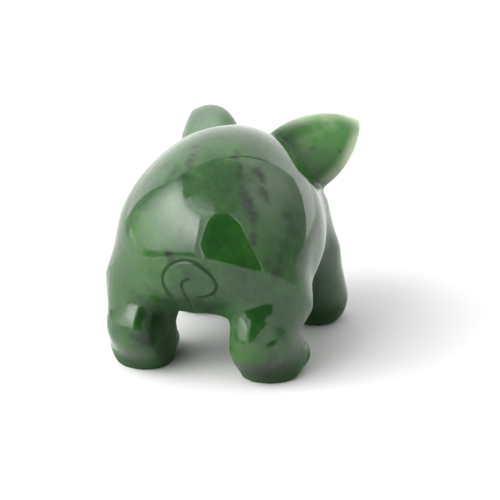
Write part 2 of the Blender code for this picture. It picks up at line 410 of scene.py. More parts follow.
def on_ear(point, root, tip, fold, size):
    """How far a point is along the ear, across it, in front of it and outside its outline."""
    out = (tip - root).arrow("NORMALIZE")
    across = size["Ear across"] - out * out.arrow("DOT_PRODUCT", size["Ear across"])
    across = across.arrow("NORMALIZE")
    offset = point - root
    u, v = offset.arrow("DOT_PRODUCT", out), offset.arrow("DOT_PRODUCT", across)
    w = offset.arrow("DOT_PRODUCT", out.arrow("CROSS_PRODUCT", across))
    w = w + (rounded(v, size["Ear fold round"]) - size["Ear fold round"]) * fold
    sideways = rounded(v, size["Ear ridge"]) + (size["Ear arc radius"] - size["Ear half width"])
    along = u - size["Ear arcs start at"]
    outline = together(point.tree, along, sideways, 0.0).arrow("LENGTH") - size["Ear arc radius"]
    return u, v, w, outline


def ear(point, root, tip, fold, size):
    u, _, w, outline = on_ear(point, root, tip, fold, size)
    thick = size["Ear thickness"] - u * size["Ear thinning"]
    rim_r = size["Ear rim radius"]

    def leaf(shrink, forward):
        rim = (outline + (rim_r + shrink)).maths("MAXIMUM", 0.0)
        return together(point.tree, rim, (w + forward) / thick * rim_r, 0.0).arrow("LENGTH") - rim_r

    hollow = leaf(size["Ear margin"], size["Ear thickness"])
    return carve(leaf(0.0, 0.0), hollow, size["Ear hollow edge"])


print("the ear is described")

# %% [markdown]
# Near the edge an ear is so thin that light comes through it, and in the photo the tip and the lower edge of
# the right ear are nearly white. The left ear stands the other way and shows much less of this. The finish
# paints that light into the colour as a pale glow. The carving knows best where an edge is, so it works out
# a value for the painted glow, from nought to one.

# %% The thin edge of an ear
THIN = {
    "Pale edge width": 2.1,
    "Tip starts at": 9.0,
    "Tip fade": 4.0,
    "Lower edge starts at": 4.2,
    "Lower edge fade": 5.0,
    "Lower side starts at": 0.5,
    "Lower side fade": 3.0,
    "Upper edge starts at": 1.0,
    "Upper edge fade": 4.0,
    "Upper edge share": 0.45,
    "Half thickness": 2.6,
    "Left ear share": 0.12,
}


def ear_edge(point, root, tip, fold, size):
    """1 on the thin edge of an ear, falling to 0 inside it and away from the ear."""
    u, v, w, outline = on_ear(point, root, tip, fold, size)
    tip_part = past(u, size["Tip starts at"], size["Tip fade"])
    lower = past(u, size["Lower edge starts at"], size["Lower edge fade"])
    lower = lower * past(v, size["Lower side starts at"], size["Lower side fade"])
    upper = past(u, size["Upper edge starts at"], size["Upper edge fade"]) * size["Upper edge share"]
    edge = tip_part.maths("MAXIMUM", lower).maths("MAXIMUM", upper)
    return dip(abs(outline), size["Pale edge width"]) * edge * past(size["Half thickness"] - abs(w), 0.0)


print(len(THIN), "sizes for the thin edges")

# %% [markdown]
# ## A tree with named inputs
#
# A node group is a formula with labelled blanks. `new_tree` makes the blanks from a table of sizes, and
# `use_tree` places the group inside another tree and joins the blanks of the same name.

# %% Making and using a tree
SOCKETS = {float: "NodeSocketFloat", int: "NodeSocketInt", tuple: "NodeSocketVector", str: "NodeSocketObject"}


def new_tree(name, sizes, results):
    tree = bpy.data.node_groups.new(name, "GeometryNodeTree")
    for title, value in sizes.items():
        kind = SOCKETS.get(type(value), "NodeSocketGeometry")
        socket = tree.interface.new_socket(title, in_out="INPUT", socket_type=kind)
        if kind in ("NodeSocketFloat", "NodeSocketInt", "NodeSocketVector"):
            socket.default_value = value
    for title in results:
        kind = "NodeSocketGeometry" if title == "Geometry" else "NodeSocketFloat"
        tree.interface.new_socket(title, in_out="OUTPUT", socket_type=kind)
    entry = tree.nodes.new("NodeGroupInput")
    return tree, {title: Wire(tree, entry.outputs[title]) for title in sizes}


def finish_tree(tree, *results):
    last = tree.nodes.new("NodeGroupOutput")
    for socket, result in zip(last.inputs, results):
        plug(tree, socket, result)
    return tree


def use_tree(tree, group, sizes):
    made = tree.nodes.new("GeometryNodeGroup")
    made.node_tree = group
    for socket in made.inputs:
        plug(tree, socket, sizes.get(socket.name))
    return Wire(tree, made.outputs[0])


print("sockets for", ", ".join(kind.__name__ for kind in SOCKETS))

# %% [markdown]
# Now the parts become one stone. Its two sides mirror each other, so most of it is worked out from the
# distance to the middle without its sign. Only the ears, the swells and the flats are placed one by one. The
# second tree gives the thin edges of both ears.

# %% The distance to the pig
def build_form():
    tree, size = new_tree("distance_to_the_pig", {"Point": (0.0, 0.0, 0.0), **FORM}, ["Distance"])
    point = size["Point"]
    x, y, z = axes_of(point)
    half = together(tree, abs(x), y, z)
    form = union(body(point, half, size), head(point, half, size), size["Head blend"])
    mirrored = together(tree, -x, y, z)
    for side, place in (("Left", point), ("Right", mirrored)):
        measures = [size[side + measure] for measure in EAR_LINE]
        form = union(form, ear(place, *measures, size), size["Ear blend"])
    for place, reach, height in SWELLS:
        swell = (ball(point, place, 0.0) / reach).maths("POWER", 2.0) * -1.0
        form = form - swell.maths("EXPONENT") * (size["Swelling"] * height)
    return finish_tree(tree, keep(form, -z - size["Sole drop"], size["Sole edge"]))


def build_thin_edge():
    tree, size = new_tree("thin_edge", {"Point": (0.0, 0.0, 0.0), **EARS, **THIN}, ["Thin edge"])
    point = size["Point"]
    x, y, z = axes_of(point)
    left = ear_edge(point, *[size["Left" + measure] for measure in EAR_LINE], size)
    right = ear_edge(together(tree, -x, y, z), *[size["Right" + measure] for measure in EAR_LINE], size)
    return finish_tree(tree, right.maths("MAXIMUM", left * size["Left ear share"]))


form_group = build_form()
edge_group = build_thin_edge()
print("distance group:", len(form_group.nodes), "nodes; thin edge group:", len(edge_group.nodes), "nodes")

# %% [markdown]
# ## Engraved lines
#
# The tail is not a separate curl. It is drawn on the rump with two engraved lines: one that runs up, over
# and round to its end, and a shorter one inside it. The mouth is a line as well. Each line is a curve that
# guides the cut, and the stone is lowered where it is near the curve.

# %% The guide curves
TAIL_OUTER = (
    (1.8, 11.8), (2.8, 14.0), (3.5, 16.5), (2.7, 18.2), (1.0, 19.3), (-0.6, 19.5), (-2.6, 18.6),
    (-3.9, 17.2), (-4.3, 15.7), (-3.7, 14.6), (-2.7, 14.1), (-1.5, 13.8),
)
TAIL_INNER = ((-0.5, 11.4), (0.0, 13.2), (0.6, 15.2), (0.4, 16.3), (-0.4, 16.7))
MOUTH = ((5.0, -17.6, 14.2), (3.3, -21.0, 13.3), (0.0, -23.4, 12.9), (-3.3, -21.0, 13.3), (-5.0, -17.6, 14.2))


def guide(name, points):
    curve = bpy.data.curves.new(name, "CURVE")
    curve.dimensions = "3D"
    spline = curve.splines.new("BEZIER")
    spline.bezier_points.add(len(points) - 1)
    for knot, point in zip(spline.bezier_points, points):
        knot.co = point
        knot.handle_left_type = knot.handle_right_type = "AUTO"
    made = bpy.data.objects.new(name, curve)
    bpy.context.scene.collection.objects.link(made)
    made.hide_render = True
    return made


GUIDES = {
    "Outer tail line": guide("tail_outer_guide", [(x, 0.0, z) for x, z in TAIL_OUTER]),
    "Inner tail line": guide("tail_inner_guide", [(x, 0.0, z) for x, z in TAIL_INNER]),
    "Mouth line": guide("mouth_guide", MOUTH),
}
print(len(GUIDES), "guide curves")

# %% [markdown]
# A burr cuts deepest in the middle of its line. So the depth falls smoothly from the guide curve to the edge
# of the line. The tail lines are drawn on a flat plane and pressed onto the rump, wherever the rump is.

# %% The depth of the engraving
CUT = {"Line half width": 0.42, "Line depth": 0.13, "Tail starts at": 14.0}


def to_line(point, line):
    """How far a point is from a guide curve."""
    tree = point.tree
    shape = node(tree, "GeometryNodeObjectInfo", {"transform_space": "ORIGINAL"}, line, out=4)
    edges = node(tree, "GeometryNodeCurveToMesh", {}, shape)
    nearest = {"target_element": "EDGES"}
    return node(tree, "GeometryNodeProximity", nearest, edges, Sample_Position=point, out=1)


def build_engraving():
    blanks = {"Point": (0.0, 0.0, 0.0), **CUT, **{title: "" for title in GUIDES}}
    tree, size = new_tree("engraving_depth", blanks, ["Depth"])
    point = size["Point"]
    x, y, z = axes_of(point)
    flat = together(tree, x, 0.0, z)
    half_width = size["Line half width"]
    outer = dip(to_line(flat, size["Outer tail line"]), half_width)
    inner = dip(to_line(flat, size["Inner tail line"]), half_width)
    tail = outer.maths("MAXIMUM", inner) * past(y, size["Tail starts at"])
    mouth = dip(to_line(point, size["Mouth line"]), half_width)
    return finish_tree(tree, tail.maths("MAXIMUM", mouth) * size["Line depth"])


engraving_group = build_engraving()
print("engraving group:", len(engraving_group.nodes), "nodes")

# %% [markdown]
# ## Rough it out
#
# A fog is filled with the distance, voxel by voxel, and a mesh is drawn where the fog reaches nought. That
# gives an even skin with no poles, which no arrangement of spheres would.

# %% Rough out the stone
GRID_LOW, GRID_HIGH = (-18.2, -26.4, -1.6), (18.2, 23.6, 35.2)
VOXEL = 0.37
OUTSIDE = -1.0


def evaluated_mesh(name, tree, inputs, source=None):
    """Runs a tree as a modifier whose inputs are set by identifier, and returns a plain mesh."""
    carrier = bpy.data.objects.new(name, source or bpy.data.meshes.new(name))
    bpy.context.scene.collection.objects.link(carrier)
    modifier = carrier.modifiers.new(name, "NODES")
    modifier.node_group = tree
    for item in tree.interface.items_tree:
        if item.in_out == "INPUT" and item.name in inputs:
            modifier[item.identifier] = inputs[item.name]
    graph = bpy.context.evaluated_depsgraph_get()
    mesh = bpy.data.meshes.new_from_object(carrier.evaluated_get(graph))
    bpy.data.objects.remove(carrier)
    # Set Material can leave an empty slot in front of the finish.
    for index in reversed(range(len(mesh.materials))):
        if mesh.materials[index] is None:
            mesh.materials.pop(index=index)
    return mesh


def build_rough_out():
    tree, size = new_tree("rough_out", {**FORM, "Grid low": GRID_LOW, "Grid high": GRID_HIGH}, ["Geometry"])
    point = node(tree, "GeometryNodeInputPosition", {})
    depth = -use_tree(tree, form_group, {**size, "Point": point})
    counts = [round((high - low) / VOXEL) + 1 for low, high in zip(GRID_LOW, GRID_HIGH)]
    box = (size["Grid low"], size["Grid high"])
    fog = node(tree, "GeometryNodeVolumeCube", {}, depth, OUTSIDE, *box, *counts)
    skin = node(tree, "GeometryNodeVolumeToMesh", {}, fog, Threshold=0.0, Adaptivity=0.0)
    to_metres = {"Translation": (0.0, FORWARD * MM, 0.0), "Scale": (MM, MM, MM)}
    small = node(tree, "GeometryNodeTransform", {}, skin, **to_metres)
    return finish_tree(tree, node(tree, "GeometryNodeRealizeInstances", {}, small))


rough = evaluated_mesh("rough_pig", build_rough_out(), FORM)
print("roughed out:", len(rough.polygons), "faces")

# %% [markdown]
# ## Smaller faces where there is fine work
#
# The engraved lines, eyes and nostrils are narrower than two of these faces, so the faces near them are cut
# into smaller ones first. A search tree over points along the lines finds which ones those are.

# %% Cut the faces up near the lines
# The faces nearer than the first reach are cut, then the ones nearer than the second are cut again.
FINE_REACHES = (1.15, 0.8)
WIDER_ON_THE_FACE = 0.5
STEPS = 4


def fine_work():
    """Points along the fine work, and whether each is on the rump."""
    graph = bpy.context.evaluated_depsgraph_get()
    found = []
    for title, line in GUIDES.items():
        mesh = line.evaluated_get(graph).to_mesh()
        on_rump = title != "Mouth line"
        for edge in mesh.edges:
            a, b = [mesh.vertices[index].co for index in edge.vertices]
            found += [(a.lerp(b, step / STEPS), on_rump) for step in range(STEPS + 1)]
    for spot in ("Eye", "Nostril"):
        centre = Vector(HEAD[spot])
        found += [(Vector((side * centre.x, centre.y, centre.z)), False) for side in (-1, 1)]
    return found


def cut_up(mesh, spots, reaches):
    rump, elsewhere = [KDTree(len(spots)) for _ in range(2)]
    for index, (spot, on_rump) in enumerate(spots):
        (rump if on_rump else elsewhere).insert(spot, index)
    rump.balance()
    elsewhere.balance()

    def away(vertex):
        point = vertex.co / MM - Vector((0.0, FORWARD, 0.0))
        if point.y > CUT["Tail starts at"]:
            return rump.find((point.x, 0.0, point.z))[2]
        return elsewhere.find(point)[2] - WIDER_ON_THE_FACE

    shape = bmesh.new()
    shape.from_mesh(mesh)
    bmesh.ops.triangulate(shape, faces=shape.faces)
    for reach in reaches:
        near = {vertex for vertex in shape.verts if away(vertex) < reach}
        edges = [edge for edge in shape.edges if near.issuperset(edge.verts)]
        bmesh.ops.subdivide_edges(shape, edges=edges, cuts=1)
        bmesh.ops.triangulate(shape, faces=[face for face in shape.faces if len(face.verts) > 3])
    shape.to_mesh(mesh)
    shape.free()


cut_up(rough, fine_work(), FINE_REACHES)
print("with fine faces:", len(rough.polygons), "triangles")

# %% [markdown]
# ## What jade looks like
#
# Nephrite is not one green. Through it run darker and yellower clouds, milky veils, and small grey-black
# inclusions, all of them inside the stone. So the colour is worked out from the place in the stone (Object
# coordinates) and not from the surface. First come the colours, in linear light.

# %% Colours of the stone
DEEP_GREEN = (0.009, 0.048, 0.009, 1.0)
JADE_GREEN = (0.014, 0.068, 0.011, 1.0)
LIGHT_GREEN = (0.028, 0.108, 0.014, 1.0)
LEAF_GREEN = (0.038, 0.125, 0.012, 1.0)
# Painted light in the thin ears: a green glow where light comes through, and a pale glow and highlight at the
# edges.
PAINTED_GLOW_GREEN = (0.050, 0.192, 0.030, 1.0)
PAINTED_PALE_LIGHT = (0.540, 0.600, 0.440, 1.0)
MILKY = (0.058, 0.115, 0.054, 1.0)
PALE_MILK = (0.130, 0.180, 0.125, 1.0)
# A smoky green of the stone, also used as painted shade at the bottoms of the hind feet.
SMOKY_AND_PAINTED_SHADE = (0.014, 0.023, 0.014, 1.0)
# Painted shade, for the underside and between the legs, where little light reaches.
PAINTED_SHADE_GREEN = (0.006, 0.024, 0.006, 1.0)
# A darker green for the engraved lines.
DARK_LINE_GREEN = (0.014, 0.044, 0.014, 1.0)
GREY_BLACK = (0.003, 0.011, 0.004, 1.0)
# Where in the clouds, from 0 to 1, each of the three main greens is at its fullest.
GREENS = ((0.32, DEEP_GREEN), (0.50, JADE_GREEN), (0.68, LIGHT_GREEN))
print("main greens:", [tuple(round(part, 3) for part in green[:3]) for _, green in GREENS])

# %% [markdown]
# Some zones and marks can be told apart in the photo, so they are placed one by one, in the same millimetres
# as the carving. A zone is a soft ball of another green; a mark is a grey-black inclusion, and a string of
# marks makes one of the smoky streaks on the back. Some zones are painted light instead: painted shade under
# the belly, between the legs and at the bottoms of the hind feet, a painted dark reflection on the right
# hock, and a painted glow and highlight in the ears. The hidden side has none and is left to the clouds.

# %% Places in the stone
# Each zone has its place, its reach, how strong it is and its colour.
ZONES = (
    ((6.5, 21.0, 17.6), 8.0, 0.35, LEAF_GREEN),
    ((-0.6, 22.0, 15.6), 6.5, 0.80, DEEP_GREEN),
    ((10.2, 19.4, 12.0), 5.0, 0.75, DEEP_GREEN),
    ((-3.2, 14.9, 29.9), 4.5, 0.60, DEEP_GREEN),
    ((11.0, 18.0, 12.5), 6.0, 0.30, LEAF_GREEN),
    ((-8.6, 21.4, 6.6), 3.4, 0.65, LEAF_GREEN),
    # Painted glow of light through the thin right ear, then a painted highlight along its upper edge.
    ((-14.4, -13.6, 29.2), 6.5, 1.00, PAINTED_GLOW_GREEN),
    ((-10.4, -11.6, 28.6), 6.0, 0.95, PAINTED_GLOW_GREEN),
    ((-8.6, -11.8, 30.0), 4.0, 0.85, PAINTED_GLOW_GREEN),
    ((-8.0, -9.3, 29.1), 2.0, 0.10, PAINTED_PALE_LIGHT),
    ((-9.7, -10.8, 30.1), 2.0, 0.14, PAINTED_PALE_LIGHT),
    ((-11.4, -12.3, 31.2), 2.2, 0.22, PAINTED_PALE_LIGHT),
    # Painted dark reflection of the dark room on the right hock.
    ((-10.5, 19.8, 11.0), 3.2, 0.80, DEEP_GREEN),
    # Painted shade at the bottom of the left hind foot.
    ((9.8, 19.3, 2.6), 4.5, 0.60, SMOKY_AND_PAINTED_SHADE),
    # Painted glow in the thin left ear.
    ((10.8, -13.4, 29.0), 5.0, 0.30, PAINTED_GLOW_GREEN),
    ((7.6, -13.6, 31.0), 5.5, 0.95, DEEP_GREEN),
    ((10.5, -14.5, 29.5), 5.0, 0.60, DEEP_GREEN),
    ((-11.4, 17.8, 18.0), 6.0, 0.50, DEEP_GREEN),
    ((-9.4, 19.8, 13.7), 4.0, 0.50, DEEP_GREEN),
    ((-9.6, 10.6, 29.0), 6.0, 0.62, PALE_MILK),
    ((-9.4, 14.6, 26.6), 4.5, 0.40, PALE_MILK),
    ((-5.6, 12.2, 30.6), 2.6, 0.80, DEEP_GREEN),
    ((-5.9, 14.6, 29.2), 2.4, 0.75, DEEP_GREEN),
    ((-10.2, 15.2, 24.5), 5.0, 0.45, MILKY),
    ((-6.2, 15.0, 28.0), 3.0, 0.40, MILKY),
    ((3.1, 11.4, 31.8), 3.5, 0.35, MILKY),
    ((-12.6, 14.6, 21.0), 4.5, 0.55, DEEP_GREEN),
    ((5.4, 18.6, 8.6), 3.0, 0.85, DEEP_GREEN),
    # Painted shade at the bottom of the right hind foot.
    ((-10.4, 19.6, 2.6), 4.2, 0.90, SMOKY_AND_PAINTED_SHADE),
    ((-7.6, 19.6, 2.2), 3.6, 0.85, SMOKY_AND_PAINTED_SHADE),
    ((-13.0, 18.0, 2.4), 4.2, 0.70, SMOKY_AND_PAINTED_SHADE),
    ((7.0, 20.8, 5.8), 2.8, 0.75, SMOKY_AND_PAINTED_SHADE),
    # Painted shade under the belly and between the legs.
    ((4.4, 17.0, 4.0), 5.0, 0.95, PAINTED_SHADE_GREEN),
    ((-2.3, 20.6, 11.8), 4.6, 0.95, PAINTED_SHADE_GREEN),
    ((2.9, 20.8, 12.2), 4.6, 0.95, PAINTED_SHADE_GREEN),
    ((1.4, 21.3, 12.6), 3.2, 0.90, PAINTED_SHADE_GREEN),
    ((6.0, 19.2, 9.6), 4.5, 0.95, PAINTED_SHADE_GREEN),
    ((-0.5, 12.0, 10.2), 7.0, 0.95, PAINTED_SHADE_GREEN),
    ((-7.2, 20.2, 16.6), 4.5, 0.30, SMOKY_AND_PAINTED_SHADE),
)
# Each mark is an inclusion: its place, its reach and how dark it is.
MARKS = (
    ((-7.2, 11.2, 30.1), 1.00, 0.80), ((-7.6, 11.6, 29.7), 1.10, 1.00), ((-8.0, 11.9, 29.2), 0.90, 0.80),
    ((-8.5, 13.3, 28.2), 0.70, 0.70), ((-8.9, 13.7, 27.6), 1.00, 1.00), ((-9.3, 14.0, 27.0), 0.80, 0.70),
    ((-6.2, 15.2, 28.7), 0.70, 0.70), ((-6.7, 15.8, 27.8), 1.00, 0.95), ((-7.2, 16.3, 27.1), 1.10, 1.00),
    ((-7.6, 16.7, 26.4), 1.10, 1.00), ((-8.0, 17.0, 25.6), 1.10, 1.00), ((-8.4, 17.4, 24.8), 0.80, 0.80),
    ((-8.6, 17.9, 23.8), 0.50, 0.60), ((-8.8, 18.4, 22.6), 0.70, 0.90), ((-8.9, 18.7, 21.9), 0.60, 0.80),
    ((2.7, 9.9, 32.5), 0.70, 0.70), ((2.3, 12.0, 31.9), 0.80, 0.85), ((2.4, 13.2, 31.4), 0.90, 0.85),
    ((2.0, 14.4, 30.8), 0.70, 0.70), ((2.3, 16.1, 29.7), 0.90, 0.85), ((2.6, 16.9, 29.0), 0.60, 0.50),
    ((-3.7, 9.9, 32.3), 0.70, 0.85), ((-3.8, 11.3, 31.8), 0.90, 0.90), ((-4.9, 12.3, 31.0), 0.80, 0.60),
    ((-5.4, 13.8, 30.0), 0.80, 0.50), ((-12.1, 12.9, 24.5), 1.10, 0.55), ((-12.9, 13.8, 22.5), 1.00, 0.50),
    ((-12.5, 15.7, 20.8), 1.00, 0.50), ((-12.3, 16.7, 19.3), 1.20, 0.55), ((-12.1, 17.8, 17.5), 1.10, 0.55),
    ((-10.9, 18.4, 19.1), 0.80, 0.40), ((2.5, 22.3, 20.2), 0.90, 0.90), ((2.0, 22.5, 19.4), 0.90, 0.90),
    ((1.0, 21.4, 23.6), 0.50, 0.70), ((0.8, 21.9, 22.6), 0.50, 0.70), ((-0.4, 22.6, 17.4), 1.00, 0.50),
    ((-7.9, 20.6, 17.3), 0.90, 0.50), ((-5.0, 21.3, 15.1), 0.80, 0.40), ((-2.8, 22.2, 19.5), 0.70, 0.40),
    ((3.9, 22.2, 16.9), 0.70, 0.35), ((9.4, 19.6, 17.4), 0.70, 0.30), ((6.6, 21.1, 14.7), 0.80, 0.30),
    ((-13.7, 16.7, 13.1), 1.00, 0.35), ((7.2, 21.5, 6.7), 1.30, 0.95), ((6.3, 20.7, 6.0), 1.20, 0.90),
    ((8.3, 21.8, 7.0), 0.80, 0.70), ((-10.5, 19.8, 3.5), 1.20, 0.60), ((-8.3, 20.5, 3.9), 1.10, 0.50),
    ((-13.1, 17.6, 3.6), 1.00, 0.50), ((-13.3, -11.4, 27.5), 0.50, 0.80), ((-9.7, -9.1, 28.3), 0.50, 0.70),
    ((-10.9, -7.6, 23.5), 0.60, 0.70), ((-5.7, -8.1, 29.6), 0.60, 0.60), ((8.9, 17.6, 23.5), 0.50, 0.50),
    ((5.2, 21.6, 17.2), 0.50, 0.60), ((-14.3, 14.0, 7.7), 0.50, 0.40),
    ((-14.4, 13.8, 5.9), 0.60, 0.90), ((-14.6, 13.0, 4.9), 0.60, 0.90), ((-14.7, 13.4, 4.3), 0.60, 0.90),
)
print(len(ZONES), "zones and", len(MARKS), "marks in the stone")

# %% [markdown]
# ## The finish
#
# A stone's pattern is noise at several sizes, one over the other. These helpers make a noise of a given size
# in millimetres, turn part of its range into a share from one value to another, and lay one colour over
# another by that share.

# %% Clouds and shares
def mix(share, a, b):
    """Colour b over colour a, by the share. A Mix node has its colours in the seventh and eighth sockets."""
    unused = (None,) * 5
    return node(share.tree, "ShaderNodeMix", {"data_type": "RGBA"}, share, *unused, a, b, out=2)


def noise(point, scale, detail, roughness, out=0):
    pattern = {"Vector": point, "Scale": scale, "Detail": detail, "Roughness": roughness}
    return node(point.tree, "ShaderNodeTexNoise", {}, out=out, **pattern)


def clouds(point, size_mm, detail, roughness):
    return noise(point, 1.0 / size_mm, detail, roughness)


def swirl(point, scale, detail, roughness):
    """Noise with a different value for each direction, to push a place about."""
    return noise(point, scale, detail, roughness, out=1) - 0.5


def fade(value, start, end, first=0.0, last=1.0):
    smooth = {"interpolation_type": "SMOOTHSTEP"}
    return node(value.tree, "ShaderNodeMapRange", smooth, value, start, end, first, last)


print("pattern helpers are ready")

# %% [markdown]
# The colour starts from big clouds of the three main greens. The zones are laid over them, with the place
# pushed about so that no zone is a true ball. Then come milky veils, a fine milky grain, and the dark: small
# flecks everywhere and the marks, ragged at their edges and broken up by patches.

# %% The colour of the stone
# Each pattern has its size in millimetres, its detail and its roughness; a swirl has a scale for a size.
CLOUDS, VEILS, GRAIN = (9.0, 4.0, 0.6), (3.2, 5.0, 0.65), (0.9, 4.0, 0.7)
FLECKS, PATCHES = (1.1, 4.0, 0.7), (1.0, 4.0, 0.5)
DRIFT, RAGGED = (0.35, 3.0, 0.5), (0.8, 5.0, 0.65)
# How far the swirls push, in millimetres, and how far a mark spreads beyond its reach.
DRIFT_MM, RAGGED_MM, MARK_SPREAD = 5.0, 1.4, 1.5
VEILS_SHIFT, GRAIN_SHIFT = (40.0, 0.0, 0.0), (0.0, 30.0, 0.0)
# The part of each pattern that counts, and the shares that it is turned into.
VEILS_SHARE, GRAIN_SHARE = (0.50, 0.78, 0.0, 0.35), (0.42, 0.74, 0.0, 0.22)
FLECKS_SHARE, PATCHES_SHARE = (0.60, 0.78, 0.0, 0.65), (0.32, 0.55, 0.65, 1.0)


def stone_colour(point):
    """The colour at a place in the stone, with its painted shade and glow, and how much of it is dark
    inclusion.
    """
    drifted = point + swirl(point, *DRIFT) * DRIFT_MM
    ragged = point + swirl(point, *RAGGED) * RAGGED_MM
    colour = node(point.tree, "ShaderNodeValToRGB", {"stops": GREENS}, clouds(drifted, *CLOUDS))
    for place, reach, strength, zone in ZONES:
        colour = mix(fade(ball(drifted, place, 0.0), 0.0, reach, strength, 0.0), colour, zone)
    colour = mix(fade(clouds(drifted + VEILS_SHIFT, *VEILS), *VEILS_SHARE), colour, MILKY)
    colour = mix(fade(clouds(point + GRAIN_SHIFT, *GRAIN), *GRAIN_SHARE), colour, MILKY)
    dark = fade(clouds(point, *FLECKS), *FLECKS_SHARE)
    for place, reach, strength in MARKS:
        spot = fade(ball(ragged, place, 0.0), 0.0, reach * MARK_SPREAD, strength, 0.0)
        dark = dark.maths("MAXIMUM", spot)
    dark = dark * fade(clouds(point, *PATCHES), *PATCHES_SHARE)
    return mix(dark, colour, GREY_BLACK), dark


print("patterns from", GRAIN[0], "to", CLOUDS[0], "mm")

# %% [markdown]
# Light enters jade and comes out again a millimetre or two away, green the farthest, which softens every
# shadow: that is subsurface scattering. The skin above it mirrors the room, more at a slant, and its strength
# comes from the refractive index of nephrite, 1.61. Only the skin that a wheel can reach is polished. The
# engraved lines, the soles and the underside between the legs stay as the grit left them, dull, and the lines
# are a darker green too. So there are two shaders, and a Mix Shader chooses between them. Where the lines and
# the thin ear edges are, the carving tree will leave as attributes named `groove` and `thin_edge`.

# %% Polished and ground stone
JADE = {
    "Refractive index": 1.61, "Scatter millimetres": (0.7, 2.0, 0.55),
    "Polish": 0.045, "Mirror": 0.42, "Ground": 0.6, "Ground mirror": 0.1,
}
# The polish is hazier by patches, from the first of these shares of it to the second, and over dark specks.
HAZE, HAZE_PART, HAZE_SHARES, SPECK_HAZE = (2.5, 4.0, 0.5), (0.3, 0.7), (0.6, 1.6), 0.05
# Between these heights, and these distances from the middle, the ground underside turns into polish.
UNDERSIDE_UP, UNDERSIDE_ACROSS, SOLE_UP, SOLE_SHARE = (12.2, 15.2), (5.0, 8.0), (1.6, 5.0), 0.9


def stone_shader(tree, made, colour, roughness, mirror):
    shader = made or tree.nodes.new("ShaderNodeBsdfPrincipled")
    plug(tree, shader.inputs["Base Color"], colour)
    plug(tree, shader.inputs["Roughness"], roughness)
    shader.inputs["IOR"].default_value = JADE["Refractive index"]
    shader.inputs["Specular IOR Level"].default_value = mirror
    shader.inputs["Subsurface Weight"].default_value = 1.0
    shader.inputs["Subsurface Radius"].default_value = JADE["Scatter millimetres"]
    shader.inputs["Subsurface Scale"].default_value = MM
    return Wire(tree, shader.outputs[0])


def ground_share(point):
    """1 on the underside between the legs, a little less on the soles, and 0 where the stone is polished."""
    across, _, up = axes_of(point)
    under = fade(up, *UNDERSIDE_UP, 1.0, 0.0) * fade(abs(across), *UNDERSIDE_ACROSS, 1.0, 0.0)
    return under.maths("MAXIMUM", fade(up, *SOLE_UP, SOLE_SHARE, 0.0))


def jade_stone():
    material = bpy.data.materials.new("polished_jade")
    material.use_nodes = True
    tree = material.node_tree
    point = node(tree, "ShaderNodeTexCoord", {}, out=3) * (1 / MM) - (0.0, FORWARD, 0.0)
    groove, edge = [
        node(tree, "ShaderNodeAttribute", {"attribute_name": name}, out=2) for name in ("groove", "thin_edge")
    ]
    colour, dark = stone_colour(point)
    # Painted pale glow where light comes through the thin ear edges.
    colour = mix(edge, colour, PAINTED_PALE_LIGHT)
    least, most = [share * JADE["Polish"] for share in HAZE_SHARES]
    haze = fade(clouds(point, *HAZE), *HAZE_PART, least, most) + dark * SPECK_HAZE
    polished = stone_shader(tree, tree.nodes["Principled BSDF"], colour, haze, JADE["Mirror"])
    dark_line_green = mix(groove, colour, DARK_LINE_GREEN)
    ground = stone_shader(tree, None, dark_line_green, JADE["Ground"], JADE["Ground mirror"])
    unpolished = groove.maths("MAXIMUM", ground_share(point))
    both = node(tree, "ShaderNodeMixShader", {}, unpolished, polished, ground)
    plug(tree, tree.nodes["Material Output"].inputs["Surface"], both)
    return material


jade_finish = jade_stone()
print("finish:", jade_finish.name, "with", len(jade_finish.node_tree.nodes), "nodes")

# %% [markdown]
# ## Polish and engrave
#
# The fog's mesh is close to the true surface, but not on it, and a polished stone shows the smallest step as
# a kink in its reflections. So each point is moved along its normal by the distance that the formula gives,
# a few times over. The engraving is added to the distance here, and so is a faint unevenness, as hand
# polishing leaves. Feet are then ground level. Last, the tree stores the two attributes that the finish
# reads, while the place of each point is still at hand.

# %% Polish
FINISH = {
    "Polishing passes": 4, "Hand wave": 0.09, "Hand depth": 0.02, "Ripple wave": 0.30, "Ripple depth": 0.012,
}
# The slope is taken over the probe's length in millimetres. A pass moves no point beyond the longest step.
PROBE, LEAST_SLOPE, LONGEST_STEP = 0.05, 0.4, 0.25
# A power below one makes the dull part of a groove wider than its depth alone would.
GROOVE_POWER = 0.7


